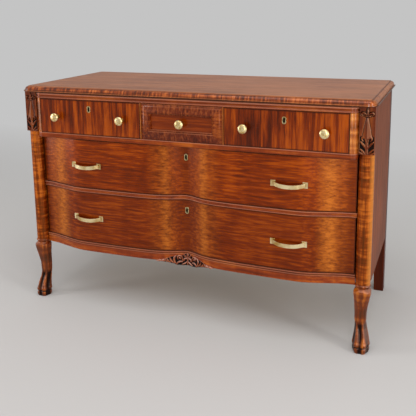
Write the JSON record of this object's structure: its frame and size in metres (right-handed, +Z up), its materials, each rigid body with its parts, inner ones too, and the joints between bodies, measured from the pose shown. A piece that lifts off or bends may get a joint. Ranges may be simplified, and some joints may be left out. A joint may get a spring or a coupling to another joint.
{
  "type": "chest of drawers",
  "caption": "Low chest of drawers with a double-bowed front, a straight row of small drawers above, round corner columns, carved blocks and paw-footed legs.",
  "frame": {"origin": "on the floor, in the middle of the piece's bounding box, knobs included", "axes": "+X to the right as one faces the front, +Y to the back, +Z up"},
  "size_m": [1.22, 0.536, 0.784],
  "materials": {
    "mahogany": "polished reddish brown mahogany, clear gloss",
    "poplar": "plain unpolished secondary wood",
    "brass": "aged polished brass",
    "steel": "plain filed steel"
  },
  "bodies": {
    "case": {"top_board": "mahogany", "left_side_panel": "mahogany", "right_side_panel": "mahogany", "left_front_post": "mahogany", "right_front_post": "mahogany", "left_front_leg": "mahogany", "right_front_leg": "mahogany", "left_rear_leg": "mahogany", "right_rear_leg": "mahogany", "frieze_moulding": "mahogany", "upper_stiles": "mahogany", "drawer_dividers": "mahogany", "upper_rail": "mahogany", "mid_rail": "mahogany", "base_rail": "mahogany", "apron_carving": "mahogany", "top_frame": "poplar", "back_boards": "poplar", "lower_back_rail": "poplar", "dust_boards": "poplar", "drawer_runners": "poplar", "drawer_stops": "poplar", "top_screws": "steel"},
    "left_drawer": {"left_drawer_front": "mahogany", "left_drawer_sides": "poplar", "left_drawer_back": "poplar", "left_drawer_bottom": "poplar", "left_drawer_knobs": "brass", "left_drawer_escutcheon": "brass", "left_drawer_lock": "steel"},
    "middle_drawer": {"middle_drawer_front": "mahogany", "middle_drawer_sides": "poplar", "middle_drawer_back": "poplar", "middle_drawer_bottom": "poplar", "middle_drawer_knob": "brass"},
    "right_drawer": {"right_drawer_front": "mahogany", "right_drawer_sides": "poplar", "right_drawer_back": "poplar", "right_drawer_bottom": "poplar", "right_drawer_knobs": "brass", "right_drawer_escutcheon": "brass", "right_drawer_lock": "steel"},
    "upper_long_drawer": {"upper_long_drawer_front": "mahogany", "upper_long_drawer_sides": "poplar", "upper_long_drawer_back": "poplar", "upper_long_drawer_bottom": "poplar", "upper_long_drawer_pulls": "brass", "upper_long_drawer_escutcheon": "brass", "upper_long_drawer_lock": "steel"},
    "lower_long_drawer": {"lower_long_drawer_front": "mahogany", "lower_long_drawer_sides": "poplar", "lower_long_drawer_back": "poplar", "lower_long_drawer_bottom": "poplar", "lower_long_drawer_pulls": "brass", "lower_long_drawer_escutcheon": "brass", "lower_long_drawer_lock": "steel"},
    "left_drawer_bolt": {"left_drawer_lock_bolt": "brass"},
    "right_drawer_bolt": {"right_drawer_lock_bolt": "brass"},
    "upper_long_drawer_bolt": {"upper_long_drawer_lock_bolt": "brass"},
    "lower_long_drawer_bolt": {"lower_long_drawer_lock_bolt": "brass"}
  },
  "joints": [
    {"name": "left_drawer_slide", "type": "slide", "parent": "case", "child": "left_drawer", "axis": [0, -1, 0], "range_m": [0, 0.36]},
    {"name": "middle_drawer_slide", "type": "slide", "parent": "case", "child": "middle_drawer", "axis": [0, -1, 0], "range_m": [0, 0.36]},
    {"name": "right_drawer_slide", "type": "slide", "parent": "case", "child": "right_drawer", "axis": [0, -1, 0], "range_m": [0, 0.36]},
    {"name": "upper_long_drawer_slide", "type": "slide", "parent": "case", "child": "upper_long_drawer", "axis": [0, -1, 0], "range_m": [0, 0.36]},
    {"name": "lower_long_drawer_slide", "type": "slide", "parent": "case", "child": "lower_long_drawer", "axis": [0, -1, 0], "range_m": [0, 0.36]},
    {"name": "left_drawer_bolt_slide", "type": "slide", "parent": "left_drawer", "child": "left_drawer_bolt", "axis": [0, 0, 1], "range_m": [0, 0.006]},
    {"name": "right_drawer_bolt_slide", "type": "slide", "parent": "right_drawer", "child": "right_drawer_bolt", "axis": [0, 0, 1], "range_m": [0, 0.006]},
    {"name": "upper_long_drawer_bolt_slide", "type": "slide", "parent": "upper_long_drawer", "child": "upper_long_drawer_bolt", "axis": [0, 0, 1], "range_m": [0, 0.006]},
    {"name": "lower_long_drawer_bolt_slide", "type": "slide", "parent": "lower_long_drawer", "child": "lower_long_drawer_bolt", "axis": [0, 0, 1], "range_m": [0, 0.006]}
  ]
}
